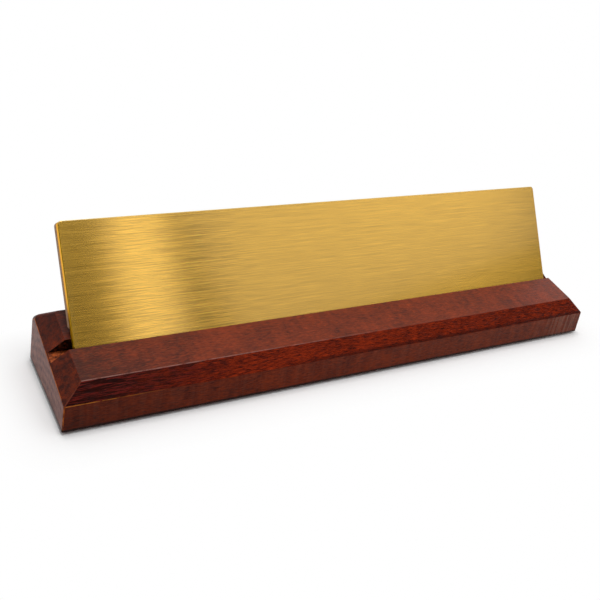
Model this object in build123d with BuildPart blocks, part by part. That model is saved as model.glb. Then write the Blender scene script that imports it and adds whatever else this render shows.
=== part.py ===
"""A desk name plate: a bevelled hardwood block with a slot along its top, and a plate that leans in it.

The plate is a brushed brass sheet, stiffened by a backing board that stops just above the block. The sheet
stands loose in the slot, wedged between the slot's front wall and its rear lip, and the plate lifts out
along its own plane. The block stands on four rubber pads.

Sizes are in millimetres. +X runs along the block, -Y faces the reader and +Z is up. The origin is on the
desk, below the middle of the block.
"""
import os
from math import cos, radians, sin, tan

from build123d import *

# Block of hardwood, bevelled on all four sides
base_length = 254.0
base_depth = 50.8
front_face_height = 11.1
front_bevel_run = 4.2
front_bevel_rise = 6.8
top_slope = radians(10.0)  # the top rises towards the back
back_bevel_run = 9.3
back_face_height = 17.9
end_bevel_inset = 7.6  # from the foot of the end to the edge of the top
end_lean = radians(3.5)  # the ends lean in as they rise
back_corner_radius = 2.5
edge_radius = 0.6

# Slot for the plate, sawn square to the block's top and open at both ends
slot_setback = 20.2  # from the front of the block to the slot's front lip
slot_width = 5.3
slot_depth = 5.3
seat_clearance = 0.15  # between the leaning plate and the wall and lip that hold it

# Plate of three layers
plate_length = 234.6
plate_height = 47.3
plate_lean = radians(32.0)
sheet_thickness = 2.8
film_thickness = 0.2
board_thickness = 3.0
board_gap = 0.4  # between the board and the block's top
plate_corner_radius = 1.5
sheet_edge_radius = 0.4
film_margin = 0.6  # the film stops short of the board's edge

# Rubber pads under the block
pad_diameter = 10.0
pad_thickness = 1.0
pad_end_inset = 16.0  # from the end of the block to the pad's centre
pad_side_inset = 9.0  # from the front and the back of the block
pad_edge_chamfer = 0.3

# Levels and places that follow from the sizes above
front = -base_depth / 2
back = base_depth / 2
underside = pad_thickness
front_bevel_foot = underside + front_face_height
top_front_y = front + front_bevel_run
top_front_z = front_bevel_foot + front_bevel_rise
top_back_y = back - back_bevel_run
top_back_z = top_front_z + (top_back_y - top_front_y) * tan(top_slope)

# The slot's two lips, on the block's sloping top
along_top = Vector(0, cos(top_slope), sin(top_slope))
slot_front_y = front + slot_setback
front_lip = Vector(0, slot_front_y, top_front_z + (slot_front_y - top_front_y) * tan(top_slope))
rear_lip = front_lip + along_top * slot_width

# The slot's width and the sheet's tilt and thickness set how far the sheet reaches below the rear lip
tilt_to_top = plate_lean + top_slope
sheet_span = (seat_clearance + sheet_thickness) * cos(tilt_to_top)
seat_length = (slot_width - seat_clearance - sheet_span) / sin(tilt_to_top)

# Plane of the sheet's back, with its origin at the middle of the sheet's lower edge
plate_up = Vector(0, sin(plate_lean), cos(plate_lean))
plate_out = Vector(0, -cos(plate_lean), sin(plate_lean))
plate_foot = rear_lip + plate_out * seat_clearance - plate_up * seat_length
sheet_back = Plane(origin=plate_foot, x_dir=(1, 0, 0), z_dir=plate_out)
board_front = sheet_back.offset(-film_thickness)

# The board's foot is square to the plate, so the board's thickness sets how high it starts
board_reach = film_thickness + board_thickness - seat_clearance
board_foot = seat_length + (board_gap + board_reach * sin(tilt_to_top)) / cos(tilt_to_top)
board_height = plate_height - board_foot
board_middle = (0, board_foot + board_height / 2)

os.makedirs("parts", exist_ok=True)


def bevel_plane(side):
    """The plane of one end's bevel, which meets the front bevel in a mitre. side is -1 or 1."""
    end_foot = side * base_length / 2
    mitre_foot = Vector(end_foot - side * front_face_height * tan(end_lean), front, front_bevel_foot)
    mitre_top = Vector(end_foot - side * end_bevel_inset, top_front_y, top_front_z)
    outward = (mitre_top - mitre_foot).cross(along_top) * -side
    return Plane(origin=mitre_foot, x_dir=along_top, z_dir=outward)


def end_plane(side):
    """The plane of one end of the block, which leans in by end_lean. side is -1 or 1."""
    return Plane(
        origin=(side * base_length / 2, 0, underside),
        x_dir=(0, 1, 0),
        z_dir=(side * cos(end_lean), 0, sin(end_lean)),
    )


# The block: one profile along its length, both ends sawn and bevelled, back corners rounded, all other
# edges eased, slot sawn last
with BuildPart() as wooden_base:
    with BuildSketch(Plane.YZ.offset(-base_length / 2)):
        with BuildLine():
            Polyline(
                (front, underside),
                (back, underside),
                (back, underside + back_face_height),
                (top_back_y, top_back_z),
                (top_front_y, top_front_z),
                (front, front_bevel_foot),
                close=True,
            )
        make_face()
    extrude(amount=base_length)
    for side in (-1, 1):
        split(bisect_by=end_plane(side), keep=Keep.BOTTOM)
        split(bisect_by=bevel_plane(side), keep=Keep.BOTTOM)
    end_edges = wooden_base.edges().filter_by(Axis.X, reverse=True)
    fillet(end_edges.filter_by_position(Axis.Y, top_back_y, base_depth), radius=back_corner_radius)
    fillet(wooden_base.edges(), radius=edge_radius)
    slot_start = front_lip - Vector(base_length / 2, 0, 0)
    with BuildSketch(Plane(origin=slot_start, x_dir=along_top, z_dir=(1, 0, 0))):
        Rectangle(slot_width, 2 * slot_depth, align=(Align.MIN, Align.CENTER))
    extrude(amount=base_length, mode=Mode.SUBTRACT)
wooden_base.part.label = "wooden_base"
export_step(wooden_base.part, "parts/wooden_base.step")

# The board that stiffens the plate, from just above the block up to the sheet's top edge
with BuildPart() as backing_board:
    with BuildSketch(board_front):
        with Locations(board_middle):
            RectangleRounded(plate_length, board_height, plate_corner_radius)
    extrude(amount=-board_thickness)
backing_board.part.label = "backing_board"
export_step(backing_board.part, "parts/backing_board.step")

# The film of adhesive that bonds the sheet to the board
with BuildPart() as adhesive_film:
    with BuildSketch(sheet_back):
        with Locations(board_middle):
            RectangleRounded(
                plate_length - 2 * film_margin,
                board_height - 2 * film_margin,
                plate_corner_radius - film_margin,
            )
    extrude(amount=-film_thickness)
adhesive_film.part.label = "adhesive_film"
export_step(adhesive_film.part, "parts/adhesive_film.step")

# The brass sheet, with the arris round its face taken off. Its back rests on the slot's rear lip
with BuildPart() as brass_sheet:
    with BuildSketch(sheet_back):
        with Locations((0, plate_height / 2)):
            RectangleRounded(plate_length, plate_height, plate_corner_radius)
    extrude(amount=sheet_thickness)
    face = brass_sheet.faces().sort_by(Axis((0, 0, 0), plate_out))[-1]
    fillet(face.edges(), radius=sheet_edge_radius)
brass_sheet.part.label = "brass_sheet"
export_step(brass_sheet.part, "parts/brass_sheet.step")

# One rubber pad near each corner of the underside
for y_side, row in ((-1, "front"), (1, "rear")):
    for x_side, hand in ((-1, "left"), (1, "right")):
        pad_x = x_side * (base_length / 2 - pad_end_inset)
        pad_y = y_side * (base_depth / 2 - pad_side_inset)
        with BuildPart() as foot_pad:
            with BuildSketch(Plane(origin=(pad_x, pad_y, 0))):
                Circle(pad_diameter / 2)
            extrude(amount=pad_thickness)
            chamfer(foot_pad.faces().sort_by(Axis.Z)[0].edges(), length=pad_edge_chamfer)
        foot_pad.part.label = f"foot_pad_{row}_{hand}"
        export_step(foot_pad.part, f"parts/{foot_pad.part.label}.step")
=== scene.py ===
"""Looks of a desk name plate: a stained hardwood block and the brushed brass plate that leans in its slot.

Sizes of the pieces and of their patterns are in millimetres, those of the studio in metres.
"""

from math import cos, radians, sin, tau

import bmesh
import bpy
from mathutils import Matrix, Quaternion, Vector


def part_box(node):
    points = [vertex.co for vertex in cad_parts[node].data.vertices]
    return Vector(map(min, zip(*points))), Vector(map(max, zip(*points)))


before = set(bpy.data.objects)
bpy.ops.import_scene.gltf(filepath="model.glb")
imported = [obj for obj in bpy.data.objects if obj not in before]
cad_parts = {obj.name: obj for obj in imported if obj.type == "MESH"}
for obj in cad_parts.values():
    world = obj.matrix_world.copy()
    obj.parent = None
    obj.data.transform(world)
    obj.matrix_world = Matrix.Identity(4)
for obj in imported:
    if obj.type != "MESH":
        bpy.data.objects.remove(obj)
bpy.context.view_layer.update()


# The block: one length of mahogany-like hardwood, sawn to a wedge, slotted along its top and bevelled on
# all four sides. It was stained a dark red-brown and wiped with a thin satin lacquer, and use has rubbed
# its edges paler. Some of its colour is painted light: painted shade, painted sheen and a painted
# highlight.
top_slope = radians(10.0)
bevel_slope = radians(58.3)  # of the front bevel, from level
top_normal = Vector((0.0, -sin(top_slope), cos(top_slope)))
bevel_normal = Vector((0.0, -sin(bevel_slope), cos(bevel_slope)))
up_the_top = Vector((0.0, cos(top_slope), sin(top_slope)))
noise_middle = 0.5  # a noise runs from 0 to 1 about this value
wave_period = tau / 20  # a wave texture of scale 1 repeats after this length
millimetres_per_metre = 1000.0


def linear(code):
    """An sRGB hex colour as linear red, green, blue and alpha."""
    shares = [int(code[i:i + 2], 16) / 255 for i in (0, 2, 4)]
    return [s / 12.92 if s <= 0.04045 else ((s + 0.055) / 1.055) ** 2.4 for s in shares] + [1.0]


def add_node(tree, kind, sockets=(), **settings):
    """Adds a node with its settings and links.

    Sockets go by their identifiers. A node or an output given for one is linked to it.
    """
    node = tree.nodes.new("ShaderNode" + kind)
    for name, value in settings.items():
        setattr(node, name, value)
    places = {socket.identifier: socket for socket in node.inputs}
    for name, value in dict(sockets).items():
        if isinstance(value, bpy.types.Node):
            value = next(socket for socket in value.outputs if socket.enabled)
        if isinstance(value, bpy.types.NodeSocket):
            tree.links.new(value, places[name])
        else:
            places[name].default_value = value
    return node


def new_tree(name):
    """A material of that name with an empty node tree."""
    material = bpy.data.materials.new(name)
    material.use_nodes = True
    material.node_tree.nodes.clear()
    return material, material.node_tree


def in_millimetres(tree, turn=0.0):
    """The place on a piece in millimetres, turned about the X axis, for patterns to be drawn on."""
    turned = add_node(tree, "Mapping", {
        "Vector": add_node(tree, "TexCoord").outputs["Object"], "Rotation": (turn, 0.0, 0.0),
    })
    return add_node(tree, "VectorMath", {
        "Vector": turned, "Scale": millimetres_per_metre,
    }, operation="SCALE")


stained_wood, tree = new_tree("stained_mahogany")
place = in_millimetres(tree)
axes = add_node(tree, "SeparateXYZ", {"Vector": place})
normal = add_node(tree, "NewGeometry").outputs["Normal"]
facing = add_node(tree, "SeparateXYZ", {"Vector": normal})

# Which face of the block it is, from the way that the surface faces. The limits are cosines, and a face
# fades in between two of them, over its rounded edge
face_start, face_whole = 0.9, 0.97
on_top, on_bevel = [
    add_node(tree, "MapRange", {
        "Value": add_node(tree, "VectorMath", {
            "Vector": normal, "Vector_001": face_normal,
        }, operation="DOT_PRODUCT").outputs["Value"],
        "From Min": face_start, "From Max": face_whole,
    })
    for face_normal in (top_normal, bevel_normal)
]
on_front = add_node(tree, "MapRange", {"Value": facing.outputs["Y"], "From Min": -0.95, "From Max": -0.99})
on_back = add_node(tree, "MapRange", {"Value": facing.outputs["Y"], "From Min": 0.1, "From Max": 0.5})
side_facing = add_node(tree, "Math", {"Value": facing.outputs["X"]}, operation="ABSOLUTE")
end_grain = add_node(tree, "MapRange", {"Value": side_facing, "From Min": 0.3, "From Max": 0.6})
on_end = add_node(tree, "MapRange", {"Value": side_facing, "From Min": face_start, "From Max": face_whole})

# Grain that sways along the block, and the marks that lie along it or across it, by their length and width
sway_length, sway_width, sway_depth = 80.0, 25.0, 2.5
sway = add_node(tree, "TexNoise", {
    "Vector": add_node(tree, "VectorMath", {
        "Vector": place, "Vector_001": (1 / sway_length, 1 / sway_width, 1 / sway_width),
    }, operation="MULTIPLY"),
    "Scale": 1.0, "Detail": 2.0,
}).outputs["Color"]
swayed = add_node(tree, "VectorMath", {
    "Vector": sway, "Vector_001": (0.0, 2 * sway_depth, 2 * sway_depth), "Vector_002": place,
}, operation="MULTIPLY_ADD")
streaks, flecks, fibres, pores, ribbon, mottle = [
    add_node(tree, "TexNoise", {
        "Vector": add_node(tree, "VectorMath", {
            "Vector": route, "Vector_001": (1 / length, 1 / width, 1 / width),
        }, operation="MULTIPLY"),
        "Scale": 1.0, "Detail": detail, "Roughness": roughness,
    })
    for route, length, width, detail, roughness in (
        (swayed, 10.0, 0.45, 3.0, 0.6),  # streaks, the thin pale lines in the bevel's dark figure
        (swayed, 2.2, 0.3, 2.0, 0.65),  # flecks, all over but on the front bevel
        (swayed, 3.2, 0.18, 3.0, 0.8),  # fibres, the short dark ones of the front bevel
        (swayed, 4.5, 0.4, 1.0, 0.5),  # pores: real ones are 0.2 wide, and are drawn wider to show
        (place, 3.5, 14.0, 2.0, 0.6),  # ribbon, the shimmer that crosses the grain of such wood
        (place, 14.0, 7.0, 4.0, 0.65),  # mottle, the patchy take-up of the stain
    )
]
fibre_tone = add_node(tree, "MapRange", {"Value": fibres, "From Min": 0.4, "From Max": 0.6})
pores = add_node(tree, "MapRange", {"Value": pores, "From Min": 0.58, "From Max": 0.68})

# Tone: flecks or fibres, ribbon and mottle, with painted shade darkening the top towards its left end,
# where less light falls, and the bevel darker towards its right
fleck_share, ribbon_share, mottle_share = 0.54, 0.2, 0.26
tone = add_node(tree, "Math", {
    "Value": add_node(tree, "Mix", {"Factor_Float": on_bevel, "A_Float": flecks, "B_Float": fibre_tone}),
    "Value_001": fleck_share,
}, operation="MULTIPLY")
for layer, share in ((ribbon, ribbon_share), (mottle, mottle_share)):
    tone = add_node(tree, "Math", {
        "Value": layer, "Value_001": share, "Value_002": tone,
    }, operation="MULTIPLY_ADD")
for face, start, end, least, most in (
    (on_top, -70.0, -115.0, 0.02, 0.12),
    (on_bevel, 10.0, 60.0, 0.0, 0.045),
):
    tone = add_node(tree, "Math", {
        "Value": tone,
        "Value_001": add_node(tree, "Math", {
            "Value": face,
            "Value_001": add_node(tree, "MapRange", {
                "Value": axes.outputs["X"],
                "From Min": start, "From Max": end, "To Min": least, "To Max": most,
            }),
        }, operation="MULTIPLY"),
    }, operation="SUBTRACT")
contrast, bevel_contrast = 3.2, 3.4
pore_depth, bevel_pore_depth = 0.25, 0.6
stain = add_node(tree, "Mix", {
    "Factor_Float": add_node(tree, "Math", {
        "Value": add_node(tree, "Math", {"Value": tone, "Value_001": noise_middle}, operation="SUBTRACT"),
        "Value_001": add_node(tree, "MapRange", {
            "Value": on_bevel, "To Min": contrast, "To Max": bevel_contrast,
        }),
        "Value_002": noise_middle,
    }, operation="MULTIPLY_ADD", use_clamp=True),
    "A_Color": linear("3C0D03"), "B_Color": linear("9A3A14"),
}, data_type="RGBA")
stain = add_node(tree, "Mix", {
    "Factor_Float": add_node(tree, "Math", {
        "Value": pores,
        "Value_001": add_node(tree, "MapRange", {
            "Value": on_bevel, "To Min": pore_depth, "To Max": bevel_pore_depth,
        }),
    }, operation="MULTIPLY"),
    "A_Color": stain, "B_Color": linear("260A05"),
}, data_type="RGBA")

# The front bevel is painted a deeper red than the top, standing in for the little sheen that it catches,
# with a near-black figure at its left end and thin pale lines in that, which are raised grain and partly a
# painted reflection of the strip lamp. Stain gathered in a dark seam along its foot, right of the figure
# bevel_tint is painted light: it deepens the bevel's colour in place of a weaker sheen
bevel_tint = (1.06, 0.68, 0.42, 1.0)
figure_whole, figure_gone = -110.0, -64.0  # along the block
figure_sway, figure_depth = 80.0, 0.9
seam_top, seam_foot = 13.5, 12.8
seam_start, seam_whole, seam_depth = -45.0, -20.0, 0.6
stain = add_node(tree, "Mix", {
    "Factor_Float": on_bevel, "A_Color": stain,
    "B_Color": add_node(tree, "Mix", {
        "Factor_Float": 1.0, "A_Color": stain, "B_Color": bevel_tint,
    }, data_type="RGBA", blend_type="MULTIPLY"),
}, data_type="RGBA")
figure = add_node(tree, "Math", {
    "Value": on_bevel,
    "Value_001": add_node(tree, "MapRange", {
        "Value": add_node(tree, "Math", {
            "Value": add_node(tree, "Math", {
                "Value": mottle, "Value_001": noise_middle,
            }, operation="SUBTRACT"),
            "Value_001": figure_sway, "Value_002": axes.outputs["X"],
        }, operation="MULTIPLY_ADD"),
        "From Min": figure_gone, "From Max": figure_whole,
    }, interpolation_type="SMOOTHSTEP"),
}, operation="MULTIPLY")
stain = add_node(tree, "Mix", {
    "Factor_Float": add_node(tree, "Math", {
        "Value": figure, "Value_001": figure_depth,
    }, operation="MULTIPLY"),
    "A_Color": stain, "B_Color": linear("170202"),
}, data_type="RGBA")
pale_lines = add_node(tree, "Math", {
    "Value": figure,
    "Value_001": add_node(tree, "Math", {
        "Value": add_node(tree, "MapRange", {"Value": streaks, "From Min": 0.5, "From Max": 0.6}),
        "Value_001": add_node(tree, "MapRange", {
            "Value": fibres, "From Min": 0.4, "From Max": 0.6, "To Min": 0.35, "To Max": 1.0,
        }),
    }, operation="MULTIPLY"),
}, operation="MULTIPLY")
# The pale lines' colour is partly a painted reflection of the strip lamp
stain = add_node(tree, "Mix", {
    "Factor_Float": pale_lines, "A_Color": stain, "B_Color": linear("801C10"),
}, data_type="RGBA")
seam = add_node(tree, "Math", {
    "Value": add_node(tree, "Math", {
        "Value": on_bevel,
        "Value_001": add_node(tree, "MapRange", {
            "Value": axes.outputs["Z"],
            "From Min": seam_top, "From Max": seam_foot, "To Max": seam_depth,
        }),
    }, operation="MULTIPLY"),
    "Value_001": add_node(tree, "MapRange", {
        "Value": axes.outputs["X"], "From Min": seam_start, "From Max": seam_whole,
    }),
}, operation="MULTIPLY")
stain = add_node(tree, "Mix", {
    "Factor_Float": seam, "A_Color": stain, "B_Color": linear("260804"),
}, data_type="RGBA")

# Painted shade darkens the front face, most at its left end; towards the middle it is redder, and painted
# sheen makes it paler to the right. Painted shade darkens the back
back_shade_depth = 0.75
front_shade_tint = (0.68, 0.66, 0.56, 1.0)
for start, end, tint in (
    (-110.0, -60.0, (0.98, 0.9, 0.66, 1.0)),
    (-20.0, 60.0, (1.04, 1.08, 0.9, 1.0)),
):
    front_shade_tint = add_node(tree, "Mix", {
        "Factor_Float": add_node(tree, "MapRange", {
            "Value": axes.outputs["X"], "From Min": start, "From Max": end,
        }),
        "A_Color": front_shade_tint, "B_Color": tint,
    }, data_type="RGBA")
stain = add_node(tree, "Mix", {
    "Factor_Float": on_front, "A_Color": stain,
    "B_Color": add_node(tree, "Mix", {
        "Factor_Float": 1.0, "A_Color": stain, "B_Color": front_shade_tint,
    }, data_type="RGBA", blend_type="MULTIPLY"),
}, data_type="RGBA")
stain = add_node(tree, "Mix", {
    "Factor_Float": add_node(tree, "Math", {
        "Value": on_back, "Value_001": back_shade_depth,
    }, operation="MULTIPLY"),
    "A_Color": stain, "B_Color": linear("2E0D07"),
}, data_type="RGBA")

# End grain is darker in patches, partly from heavier stain and partly painted shade, and painted shade
# darkens it more towards the back. The upright ends are paler, partly a painted sheen, and show the
# growth rings
patch = 3.0
rear_shade_start, rear_shade_whole, rear_shade_depth = 2.0, 8.0, 0.4
ring_pitch, ring_share = 3.4, 0.12
ring_centre = Vector((0.0, -12.0, -48.0))  # the heart of the tree, below the block
patches = add_node(tree, "TexNoise", {
    "Vector": place, "Scale": 1 / patch, "Detail": 5.0, "Roughness": 0.8,
})
stain = add_node(tree, "Mix", {
    "Factor_Float": add_node(tree, "Math", {
        "Value": end_grain,
        "Value_001": add_node(tree, "MapRange", {
            "Value": patches, "From Min": 0.6, "From Max": 0.4, "To Min": 0.2, "To Max": 0.9,
        }),
    }, operation="MULTIPLY"),
    "A_Color": stain, "B_Color": linear("2A0B06"),
}, data_type="RGBA")
# Painted shade on the end grain, towards the back
stain = add_node(tree, "Mix", {
    "Factor_Float": add_node(tree, "Math", {
        "Value": end_grain,
        "Value_001": add_node(tree, "MapRange", {
            "Value": axes.outputs["Y"],
            "From Min": rear_shade_start, "From Max": rear_shade_whole, "To Max": rear_shade_depth,
        }),
    }, operation="MULTIPLY"),
    "A_Color": stain, "B_Color": linear("2A0D0A"),
}, data_type="RGBA")
rings = add_node(tree, "TexWave", {
    "Vector": add_node(tree, "VectorMath", {
        "Vector": place, "Vector_001": ring_centre,
    }, operation="SUBTRACT"),
    "Scale": wave_period / ring_pitch, "Distortion": 2.0, "Detail": 3.0, "Detail Scale": 2.0,
}, wave_type="RINGS", rings_direction="X")
stain = add_node(tree, "Mix", {
    "Factor_Float": on_end, "A_Color": stain,
    "B_Color": add_node(tree, "Mix", {
        "Factor_Float": add_node(tree, "MapRange", {
            "Value": add_node(tree, "Math", {
                "Value": rings, "Value_001": ring_share, "Value_002": patches,
            }, operation="MULTIPLY_ADD"),
            "From Min": 0.38, "From Max": 0.74,
        }),
        "A_Color": linear("521B13"), "B_Color": linear("A0604F"),
    }, data_type="RGBA"),
}, data_type="RGBA")

# A pale painted sheen on the top, strongest at the right
sheen_start, sheen_whole = 85.0, 122.0
sheen_least, sheen_most = 0.032, 0.07
stain = add_node(tree, "Mix", {
    "Factor_Float": add_node(tree, "Math", {
        "Value": on_top,
        "Value_001": add_node(tree, "MapRange", {
            "Value": axes.outputs["X"],
            "From Min": sheen_start, "From Max": sheen_whole, "To Min": sheen_least, "To Max": sheen_most,
        }),
    }, operation="MULTIPLY"),
    "A_Color": stain, "B_Color": linear("D2B4AC"),
}, data_type="RGBA")

# The sawn slot: painted shade darkens its inside, but for its right end, with specks of torn fibres. Its
# floor is rubbed bare at both ends
slot_front, slot_rear, slot_floor = -1.349, 3.951, 16.994  # up the sloping top, and square to it
wall_margin, floor_margin = 0.05, 0.1  # so that the slot's own walls and floor lie inside its limits
torn_fibre = 1.3
shade_whole, shade_gone = 112.0, 116.0  # along the block
bare_start, bare_whole = 116.0, 121.0  # from the middle to either end
place_up_top = add_node(tree, "VectorMath", {
    "Vector": place, "Vector_001": up_the_top,
}, operation="DOT_PRODUCT").outputs["Value"]
place_square_to_top = add_node(tree, "VectorMath", {
    "Vector": place, "Vector_001": top_normal,
}, operation="DOT_PRODUCT").outputs["Value"]
in_slot = add_node(tree, "Math", {
    "Value": add_node(tree, "Math", {
        "Value": place_up_top, "Value_001": (slot_front + slot_rear) / 2,
        "Value_002": (slot_rear - slot_front) / 2 + wall_margin,
    }, operation="COMPARE"),
    "Value_001": add_node(tree, "Math", {
        "Value": place_square_to_top, "Value_001": slot_floor - floor_margin,
    }, operation="GREATER_THAN"),
}, operation="MULTIPLY")
torn_fibres = add_node(tree, "TexNoise", {
    "Vector": place, "Scale": 1 / torn_fibre, "Detail": 3.0, "Roughness": 0.6,
})
# Painted shade inside the slot
stain = add_node(tree, "Mix", {
    "Factor_Float": add_node(tree, "Math", {
        "Value": in_slot,
        "Value_001": add_node(tree, "MapRange", {
            "Value": axes.outputs["X"],
            "From Min": shade_whole, "From Max": shade_gone, "To Min": 1.0, "To Max": 0.0,
        }),
    }, operation="MULTIPLY"),
    "A_Color": stain,
    "B_Color": add_node(tree, "Mix", {
        "Factor_Float": add_node(tree, "MapRange", {
            "Value": torn_fibres, "From Min": 0.5, "From Max": 0.68,
        }),
        "A_Color": linear("120503"), "B_Color": linear("6E3214"),
    }, data_type="RGBA"),
}, data_type="RGBA")
bare_floor = add_node(tree, "Math", {
    "Value": add_node(tree, "Math", {"Value": in_slot, "Value_001": on_top}, operation="MULTIPLY"),
    "Value_001": add_node(tree, "MapRange", {
        "Value": add_node(tree, "Math", {"Value": axes.outputs["X"]}, operation="ABSOLUTE"),
        "From Min": bare_start, "From Max": bare_whole,
    }),
}, operation="MULTIPLY")
stain = add_node(tree, "Mix", {
    "Factor_Float": bare_floor, "A_Color": stain,
    "B_Color": add_node(tree, "Mix", {
        "Factor_Float": add_node(tree, "MapRange", {
            "Value": torn_fibres, "From Min": 0.35, "From Max": 0.65,
        }),
        "A_Color": linear("36130A"), "B_Color": linear("B4582A"),
    }, data_type="RGBA"),
}, data_type="RGBA")

# Eased edges that handling has rubbed, most at the left, and a painted highlight along the front edge of
# the top. Each is found by the way that its middle faces, and spread is the cosine at which it starts
wear_and_highlight_patch = 5.0
wear_and_highlight_breakup = add_node(tree, "MapRange", {
    "Value": add_node(tree, "TexNoise", {
        "Vector": place, "Scale": 1 / wear_and_highlight_patch, "Detail": 5.0, "Roughness": 0.7,
    }),
    "From Min": 0.36, "From Max": 0.54,
})
either_end = add_node(tree, "CombineXYZ", {
    "X": side_facing, "Y": facing.outputs["Y"], "Z": facing.outputs["Z"],
})
for middle, spread, colour, left, right, most, least in (
    # The first row is a painted highlight, not wear
    ((0.0, -0.54, 0.842), 0.93, "A87A70", -90.0, 20.0, 0.7, 0.08),  # front edge of the top
    ((0.0, -0.962, 0.273), 0.968, "CC7628", -118.0, -86.0, 0.85, 0.0),  # foot of the front bevel
    ((0.377, -0.567, 0.733), 0.9, "6E3424", -120.0, 0.0, 0.8, 0.3),  # mitres at the front
    ((0.894, -0.071, 0.436), 0.94, "C0641F", -120.0, 0.0, 1.0, 0.4),  # feet of the end bevels
    ((0.706, -0.707, 0.043), 0.86, "CC6A22", -120.0, 0.0, 1.0, 0.3),  # upright corners at the front
):
    edge = add_node(tree, "MapRange", {
        "Value": add_node(tree, "VectorMath", {
            "Vector": either_end, "Vector_001": middle,
        }, operation="DOT_PRODUCT").outputs["Value"],
        "From Min": spread, "From Max": (1 + spread) / 2,
    })
    wear_and_highlight = add_node(tree, "Math", {
        "Value": add_node(tree, "Math", {"Value": edge, "Value_001": wear_and_highlight_breakup}, operation="MULTIPLY"),
        "Value_001": add_node(tree, "MapRange", {
            "Value": axes.outputs["X"],
            "From Min": left, "From Max": right, "To Min": most, "To Max": least,
        }),
    }, operation="MULTIPLY")
    stain = add_node(tree, "Mix", {
        "Factor_Float": wear_and_highlight, "A_Color": stain, "B_Color": linear(colour),
    }, data_type="RGBA")

# Painted shade makes the lowest edge near black, where it turns under towards the floor. The underside has
# none of that
foot_shade_top, foot_shade_whole, foot_shade_depth = 2.5, 2.0, 0.9
foot_shade = add_node(tree, "Math", {
    "Value": add_node(tree, "MapRange", {
        "Value": axes.outputs["Z"], "From Min": foot_shade_top, "From Max": foot_shade_whole,
    }),
    "Value_001": add_node(tree, "MapRange", {
        "Value": facing.outputs["Z"], "From Min": -0.97, "From Max": -0.85, "To Max": foot_shade_depth,
    }),
}, operation="MULTIPLY")
stain = add_node(tree, "Mix", {
    "Factor_Float": foot_shade, "A_Color": stain, "B_Color": linear("0C0403"),
}, data_type="RGBA")

# Marks of the saw across the front face, plainest at the right end, with painted sheen making their ridges
# paler
saw_mark_pitch, saw_mark_length = 1.5, 22.0
marks_start, marks_whole, marks_sway = 110.0, 128.0, 30.0  # along the block
marks_least, ridge_sheen = 0.1, 0.65
saw_marks = add_node(tree, "MapRange", {
    "Value": add_node(tree, "TexNoise", {
        "Vector": add_node(tree, "VectorMath", {
            "Vector": place, "Vector_001": (1 / saw_mark_pitch, 0.0, 1 / saw_mark_length),
        }, operation="MULTIPLY"),
        "Scale": 1.0, "Detail": 2.0, "Roughness": 0.5,
    }),
    "From Min": 0.42, "From Max": 0.66,
})
saw_depth = add_node(tree, "Math", {
    "Value": saw_marks,
    "Value_001": add_node(tree, "Math", {
        "Value": add_node(tree, "MapRange", {
            "Value": add_node(tree, "Math", {
                "Value": mottle, "Value_001": marks_sway, "Value_002": axes.outputs["X"],
            }, operation="MULTIPLY_ADD"),
            "From Min": marks_start, "From Max": marks_whole, "To Min": marks_least,
        }),
        "Value_001": on_front,
    }, operation="MULTIPLY"),
}, operation="MULTIPLY")
stain = add_node(tree, "Mix", {
    "Factor_Float": add_node(tree, "Math", {
        "Value": saw_depth, "Value_001": ridge_sheen,
    }, operation="MULTIPLY"),
    "A_Color": stain, "B_Color": linear("94624F"),
}, data_type="RGBA")

# Relief of the flecks, the pores, the saw marks and the pale lines, under a satin lacquer that is duller on
# end grain, with a second thin coat on the upright ends
relief_height, saw_relief, line_relief = 0.04, 2.0, 3.0
end_dullness, second_coat = 0.12, 0.22
relief = add_node(tree, "Math", {"Value": flecks, "Value_001": pores}, operation="SUBTRACT")
for marks, share in ((saw_depth, saw_relief), (pale_lines, line_relief)):
    relief = add_node(tree, "Math", {
        "Value": marks, "Value_001": share, "Value_002": relief,
    }, operation="MULTIPLY_ADD")
dullness = add_node(tree, "Math", {
    "Value": end_grain, "Value_001": end_dullness,
    "Value_002": add_node(tree, "MapRange", {"Value": mottle, "To Min": 0.26, "To Max": 0.42}),
}, operation="MULTIPLY_ADD")
add_node(tree, "OutputMaterial", {
    "Surface": add_node(tree, "BsdfPrincipled", {
        "Base Color": stain, "Roughness": dullness, "IOR": 1.45, "Specular IOR Level": 0.1,
        "Coat Weight": add_node(tree, "Math", {
            "Value": on_end, "Value_001": second_coat,
        }, operation="MULTIPLY"),
        "Coat Roughness": 0.4, "Coat IOR": 1.5,
        "Normal": add_node(tree, "Bump", {
            "Height": relief, "Distance": relief_height / millimetres_per_metre, "Strength": 1.0,
        }),
    }),
})
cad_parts["wooden_base"].data.materials[0] = stained_wood


# The feet: four round pads punched from black rubber sheet and stuck under the block.
# Rubber sheet is dull, with a fine dusting of talc left in its pressed texture.
grit, grit_height = 0.4, 0.03
talc_patch = 3.0

pad_rubber, tree = new_tree("black_rubber_sheet")
place = in_millimetres(tree)
pressed = add_node(tree, "TexNoise", {"Vector": place, "Scale": 1 / grit, "Detail": 3.0})
talc = add_node(tree, "TexNoise", {
    "Vector": place, "Scale": 1 / talc_patch, "Detail": 4.0, "Roughness": 0.7,
})
add_node(tree, "OutputMaterial", {
    "Surface": add_node(tree, "BsdfPrincipled", {
        "Base Color": add_node(tree, "Mix", {
            "Factor_Float": add_node(tree, "MapRange", {"Value": talc, "From Min": 0.45, "From Max": 0.8}),
            "A_Color": linear("141413"), "B_Color": linear("3A3937"),
        }, data_type="RGBA"),
        "Roughness": add_node(tree, "MapRange", {"Value": talc, "To Min": 0.65, "To Max": 0.9}),
        "IOR": 1.52,
        "Normal": add_node(tree, "Bump", {
            "Height": pressed, "Distance": grit_height / millimetres_per_metre, "Strength": 1.0,
        }),
    }),
})
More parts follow.
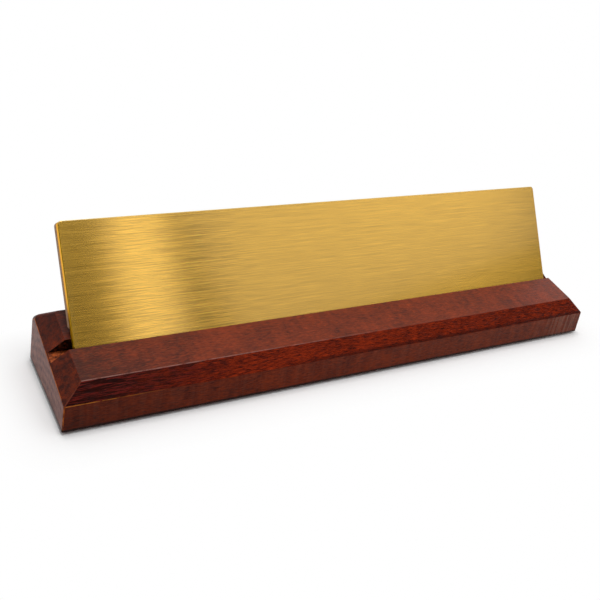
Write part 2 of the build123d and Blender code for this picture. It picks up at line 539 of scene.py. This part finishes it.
for corner in ("front_left", "front_right", "rear_left", "rear_right"):
    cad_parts["foot_pad_" + corner].data.materials[0] = pad_rubber


# The backing board: brown hardboard, wood fibre pressed hot on a wire screen, cut as long as the plate and
# glued behind it. Its back keeps the print of the screen, and its paler cut edge shows the fibres.
plate_lean = radians(32.0)
plate_up = Vector((0.0, sin(plate_lean), cos(plate_lean)))
plate_out = Vector((0.0, -cos(plate_lean), sin(plate_lean)))
turn_to_plate = plate_lean - tau / 4  # about X, so that a pattern's Y axis runs up the plate
screen_pitch, screen_share = 1.7, 1.5
shive_length, shive_width = 3.0, 0.5  # shives are bundles of fibre
print_height = 0.1
cut_paleness = 0.6

hardboard, tree = new_tree("pressed_fibre_hardboard")
place = in_millimetres(tree, turn_to_plate)
wires_across, wires_along = [
    add_node(tree, "TexWave", {
        "Vector": place, "Scale": wave_period / screen_pitch, "Distortion": 0.6, "Detail": 1.0,
    }, wave_type="BANDS", bands_direction=direction)
    for direction in ("X", "Y")
]
screen = add_node(tree, "Math", {"Value": wires_across, "Value_001": wires_along}, operation="MULTIPLY")
shives = add_node(tree, "TexNoise", {
    "Vector": add_node(tree, "VectorMath", {
        "Vector": place, "Vector_001": (1 / shive_length, 1 / shive_width, 1 / shive_width),
    }, operation="MULTIPLY"),
    "Scale": 1.0, "Detail": 3.0, "Distortion": 1.5,
})
pressed_face = add_node(tree, "MapRange", {
    "Value": add_node(tree, "Math", {
        "Value": add_node(tree, "VectorMath", {
            "Vector": add_node(tree, "NewGeometry").outputs["Normal"], "Vector_001": plate_out,
        }, operation="DOT_PRODUCT").outputs["Value"],
    }, operation="ABSOLUTE"),
    "From Min": 0.4, "From Max": 0.8,
})
fibre_colour = add_node(tree, "Mix", {
    "Factor_Float": add_node(tree, "MapRange", {"Value": shives, "From Min": 0.3, "From Max": 0.7}),
    "A_Color": linear("6A4A30"), "B_Color": linear("A07A54"),
}, data_type="RGBA")
cut_colour = add_node(tree, "Mix", {
    "Factor_Float": cut_paleness, "A_Color": fibre_colour, "B_Color": linear("DCAE86"),
}, data_type="RGBA")
add_node(tree, "OutputMaterial", {
    "Surface": add_node(tree, "BsdfPrincipled", {
        "Base Color": add_node(tree, "Mix", {
            "Factor_Float": pressed_face, "A_Color": cut_colour, "B_Color": fibre_colour,
        }, data_type="RGBA"),
        "Roughness": add_node(tree, "MapRange", {"Value": shives, "To Min": 0.6, "To Max": 0.85}),
        "IOR": 1.5,
        "Normal": add_node(tree, "Bump", {
            "Height": add_node(tree, "Math", {
                "Value": screen, "Value_001": screen_share, "Value_002": shives,
            }, operation="MULTIPLY_ADD"),
            "Distance": print_height / millimetres_per_metre, "Strength": 1.0,
        }),
    }),
})
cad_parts["backing_board"].data.materials[0] = hardboard


# The adhesive: a thin acrylic film between board and sheet, milky, with small pale spots where it lifted.
# Only its edge shows, as a fine line between the two.
spot = 1.2

adhesive, tree = new_tree("acrylic_adhesive_film")
spots = add_node(tree, "TexNoise", {"Vector": in_millimetres(tree), "Scale": 1 / spot, "Detail": 2.0})
add_node(tree, "OutputMaterial", {
    "Surface": add_node(tree, "BsdfPrincipled", {
        "Base Color": add_node(tree, "Mix", {
            "Factor_Float": spots, "A_Color": linear("A89C82"), "B_Color": linear("D9D1B8"),
        }, data_type="RGBA"),
        "Roughness": add_node(tree, "MapRange", {"Value": spots, "To Min": 0.35, "To Max": 0.6}),
        "IOR": 1.47, "Transmission Weight": 0.3,
    }),
})
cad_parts["adhesive_film"].data.materials[0] = adhesive


# The sheet: brass, brushed along its length on a belt, lacquered on its face and glued to the board. The
# brush lines spread each light into a band up the plate and break it into fine streaks. The eased arris is
# painted dark as painted shade, the cut ends a bright gold as a painted reflection and partly diffuse, and
# the top edge a pale cream as a painted highlight.
side_tilt = 0.008  # how far a stroke tilts the surface along the plate, as a slope

brushed_brass, tree = new_tree("lacquered_brushed_brass")
place = in_millimetres(tree, turn_to_plate)
along = add_node(tree, "SeparateXYZ", {"Vector": place}).outputs["X"]
normal = add_node(tree, "NewGeometry").outputs["Normal"]

# Strokes of the belt and finer hairs between them, by their length and width. The real scratches are finer,
# and are drawn about a pixel wide
strokes, hairs = [
    add_node(tree, "TexNoise", {
        "Vector": add_node(tree, "VectorMath", {
            "Vector": place, "Vector_001": (1 / length, 1 / width, 0.0),
        }, operation="MULTIPLY"),
        "Scale": 1.0, "Detail": 2.0, "Roughness": roughness,
    })
    for length, width, roughness in (
        (45.0, 0.3, 0.6),  # strokes
        (12.0, 0.2, 0.5),  # hairs
    )
]

# The belt bit deepest over a stretch at the left, and more lightly at the left end and to the right
bite_start, bite_whole, bite_least, bite_most = -108.0, -85.0, 0.4, 1.5
bite_end, bite_gone, bite_left_over = -72.0, -38.0, 0.24
bite = add_node(tree, "Math", {
    "Value": add_node(tree, "MapRange", {
        "Value": along,
        "From Min": bite_start, "From Max": bite_whole, "To Min": bite_least, "To Max": bite_most,
    }),
    "Value_001": add_node(tree, "MapRange", {
        "Value": along,
        "From Min": bite_end, "From Max": bite_gone, "To Min": 1.0, "To Max": bite_left_over,
    }),
}, operation="MULTIPLY")
both = add_node(tree, "Math", {"Value": strokes, "Value_001": hairs}, operation="ADD")
brushing = add_node(tree, "Math", {
    "Value": add_node(tree, "Math", {"Value": both, "Value_001": 2 * noise_middle}, operation="SUBTRACT"),
    "Value_001": bite, "Value_002": noise_middle,
}, operation="MULTIPLY_ADD")
tilt = add_node(tree, "MapRange", {
    "Value": brushing, "To Min": -side_tilt / 2, "To Max": side_tilt / 2,
})
tilted = add_node(tree, "VectorMath", {
    "Vector": add_node(tree, "VectorMath", {
        "Vector": normal, "Vector_001": add_node(tree, "CombineXYZ", {"X": tilt}),
    }, operation="ADD"),
}, operation="NORMALIZE")

# The face, the cut ends and the top edge, from the way that the surface faces
on_face = add_node(tree, "MapRange", {
    "Value": add_node(tree, "VectorMath", {
        "Vector": normal, "Vector_001": plate_out,
    }, operation="DOT_PRODUCT").outputs["Value"],
    "From Min": 0.8, "From Max": 0.98,
})
cut_end = add_node(tree, "MapRange", {
    "Value": add_node(tree, "Math", {
        "Value": add_node(tree, "SeparateXYZ", {"Vector": normal}).outputs["X"],
    }, operation="ABSOLUTE"),
    "From Min": 0.75, "From Max": 0.95,
})
top_edge = add_node(tree, "MapRange", {
    "Value": add_node(tree, "VectorMath", {
        "Vector": normal, "Vector_001": plate_up,
    }, operation="DOT_PRODUCT").outputs["Value"],
    "From Min": 0.25, "From Max": 0.7,
})
# Painted light on the edges: a dark arris as painted shade, bright gold cut ends as a painted reflection,
# and a pale cream top edge as a painted highlight
edge_colour = add_node(tree, "Mix", {
    "Factor_Float": cut_end, "A_Color": linear("6A4A14"), "B_Color": linear("FFD022"),
}, data_type="RGBA")
edge_colour = add_node(tree, "Mix", {
    "Factor_Float": top_edge, "A_Color": edge_colour, "B_Color": linear("FFEFC0"),
}, data_type="RGBA")
face_colour = add_node(tree, "Mix", {
    "Factor_Float": add_node(tree, "MapRange", {"Value": brushing, "From Min": 0.37, "From Max": 0.63}),
    "A_Color": linear("B78F39"), "B_Color": linear("E1B148"),
}, data_type="RGBA")
edge_metallic, edge_roughness = 0.75, 0.4
lacquer = 0.6
add_node(tree, "OutputMaterial", {
    "Surface": add_node(tree, "BsdfPrincipled", {
        "Base Color": add_node(tree, "Mix", {
            "Factor_Float": on_face, "A_Color": edge_colour, "B_Color": face_colour,
        }, data_type="RGBA"),
        "Metallic": add_node(tree, "MapRange", {
            "Value": add_node(tree, "Math", {
                "Value": on_face, "Value_001": top_edge,
            }, operation="MAXIMUM"),
            "To Min": edge_metallic,
        }),
        "Roughness": add_node(tree, "Mix", {
            "Factor_Float": on_face, "A_Float": edge_roughness,
            "B_Float": add_node(tree, "MapRange", {"Value": brushing, "To Min": 0.21, "To Max": 0.29}),
        }),
        "Anisotropic": 1.0,
        "Specular Tint": linear("FFC850"),
        "Tangent": add_node(tree, "CombineXYZ", {"Y": plate_up.y, "Z": plate_up.z}),
        "Coat Weight": add_node(tree, "Math", {
            "Value": on_face, "Value_001": lacquer,
        }, operation="MULTIPLY"),
        "Coat Roughness": 0.13, "Coat IOR": 1.5,
        "Normal": tilted, "Coat Normal": tilted,
    }),
})
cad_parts["brass_sheet"].data.materials[0] = brushed_brass


# The studio floor: white paper that the block stands on. It keeps the shadow, and the camera and glossy
# surfaces see it a little overexposed, as it is in the photograph.
floor_radius, floor_sides = 4.0, 96
overexposed = (1.04, 1.04, 1.04, 1.0)
block_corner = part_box("wooden_base")[1]
footprint = Vector((block_corner.x, block_corner.y, 0.0))
shadow_start, shadow_end = 0.003, 0.021  # the shadow thins out over this distance from the block


def seen_as_white(tree):
    """1 for what the camera, glossy surfaces and clear ones see, and 0 for what lights the object."""
    rays = add_node(tree, "LightPath")
    return add_node(tree, "Math", {
        "Value": rays.outputs["Is Camera Ray"],
        "Value_001": add_node(tree, "Math", {
            "Value": rays.outputs["Is Glossy Ray"], "Value_001": rays.outputs["Is Transmission Ray"],
        }, operation="MAXIMUM"),
    }, operation="MAXIMUM")


floor_paper, tree = new_tree("white_paper")
seen = seen_as_white(tree)
from_middle = add_node(tree, "VectorMath", {
    "Vector": add_node(tree, "TexCoord").outputs["Object"],
}, operation="ABSOLUTE")
from_block = add_node(tree, "VectorMath", {
    "Vector": add_node(tree, "VectorMath", {
        "Vector": from_middle, "Vector_001": footprint,
    }, operation="SUBTRACT"),
    "Vector_001": (0.0, 0.0, 0.0),
}, operation="MAXIMUM")
far = add_node(tree, "MapRange", {
    "Value": add_node(tree, "VectorMath", {"Vector": from_block}, operation="LENGTH").outputs["Value"],
    "From Min": shadow_start, "From Max": shadow_end,
})
add_node(tree, "OutputMaterial", {
    "Surface": add_node(tree, "MixShader", {
        "Fac": add_node(tree, "Math", {"Value": far, "Value_001": seen}, operation="MULTIPLY"),
        "Shader": add_node(tree, "BsdfDiffuse", {
            "Color": add_node(tree, "Mix", {
                "Factor_Float": seen, "A_Color": linear("C8C8C8"), "B_Color": overexposed,
            }, data_type="RGBA"),
        }),
        "Shader_001": add_node(tree, "Emission", {"Color": linear("FFFFFF"), "Strength": 1.0}),
    }),
})
mesh = bpy.data.meshes.new("studio_floor")
shape = bmesh.new()
bmesh.ops.create_circle(shape, cap_ends=True, segments=floor_sides, radius=floor_radius)
shape.to_mesh(mesh)
shape.free()
mesh.materials.append(floor_paper)
floor = bpy.data.objects.new("studio_floor", mesh)
bpy.context.scene.collection.objects.link(floor)


# The light: a white tent, brighter overhead, with a lamp above, a strip in front for the band on the brass
# and a soft panel at the right. A dark curtain behind the camera and at the left keeps those sides dim.
tent_level = 0.27
tent_slope = Vector((0.22, 0.05, 0.45))  # how the tent brightens along each axis
curtain_foot = ((1.9, -1.1, 0.01), (-1.5, -1.1, 0.01), (-1.5, 0.15, 0.01))
curtain_height = 1.1

for name, at, aim, roll, width, height, watts in (
    ("overhead_lamp", (-0.06, 0.0, 0.9), (-0.06, 0.0, 0.0), 0.0, 0.2, 0.4, 3.4),
    ("front_strip", (0.1455, -0.586, 0.44), (-0.0845, 0.0, 0.04), -6.0, 0.077, 0.4, 0.197),
    ("right_panel", (0.577, -0.649, 0.58), (0.0, 0.0, 0.04), -6.0, 0.585, 0.35, 0.936),
):
    lamp = bpy.data.lights.new(name, "AREA")
    lamp.shape = "RECTANGLE"
    lamp.size, lamp.size_y = width, height
    lamp.energy = watts
    light = bpy.data.objects.new(name, lamp)
    light.location = at
    turn = (Vector(aim) - Vector(at)).to_track_quat("-Z", "Y") @ Quaternion((0.0, 0.0, 1.0), radians(roll))
    light.rotation_euler = turn.to_euler()
    bpy.context.scene.collection.objects.link(light)

world = bpy.data.worlds.new("studio_tent")
world.use_nodes = True
tree = world.node_tree
tree.nodes.clear()
tent_light = add_node(tree, "Math", {
    "Value": add_node(tree, "VectorMath", {
        "Vector": add_node(tree, "TexCoord").outputs["Generated"], "Vector_001": tent_slope,
    }, operation="DOT_PRODUCT").outputs["Value"],
    "Value_001": tent_level,
}, operation="ADD", use_clamp=True)
add_node(tree, "OutputWorld", {
    "Surface": add_node(tree, "MixShader", {
        "Fac": seen_as_white(tree),
        "Shader": add_node(tree, "Background", {"Color": linear("FFFFFF"), "Strength": tent_light}),
        "Shader_001": add_node(tree, "Background", {"Color": linear("FFFFFF"), "Strength": 1.0}),
    }),
})
bpy.context.scene.world = world

curtain_cloth, tree = new_tree("dark_curtain")
add_node(tree, "OutputMaterial", {
    "Surface": add_node(tree, "BsdfDiffuse", {"Color": linear("383838")}),
})
mesh = bpy.data.meshes.new("dark_curtain")
shape = bmesh.new()
right, corner, left = [shape.verts.new(point) for point in curtain_foot]
foot = [shape.edges.new((right, corner)), shape.edges.new((corner, left))]
raised = bmesh.ops.extrude_edge_only(shape, edges=foot)["geom"]
rail = [part for part in raised if isinstance(part, bmesh.types.BMVert)]
bmesh.ops.translate(shape, verts=rail, vec=(0.0, 0.0, curtain_height))
shape.to_mesh(mesh)
shape.free()
mesh.materials.append(curtain_cloth)
curtain = bpy.data.objects.new("dark_curtain", mesh)
curtain.visible_camera = False
bpy.context.scene.collection.objects.link(curtain)


# The camera, where the photographer stood: in front, to the left and above.
# Its place and its lens were fitted to the block's and the plate's edges in the photograph.
camera_lens = bpy.data.cameras.new("photo_camera")
camera_lens.lens = 47.818
camera_lens.clip_start = 0.01
camera = bpy.data.objects.new("photo_camera", camera_lens)
camera.location = (-0.18234, -0.24469, 0.18709)
camera.rotation_euler = (radians(60.771), radians(-8.413), radians(-28.562))
bpy.context.scene.collection.objects.link(camera)
bpy.context.scene.camera = camera
bpy.context.scene.view_settings.view_transform = "Standard"
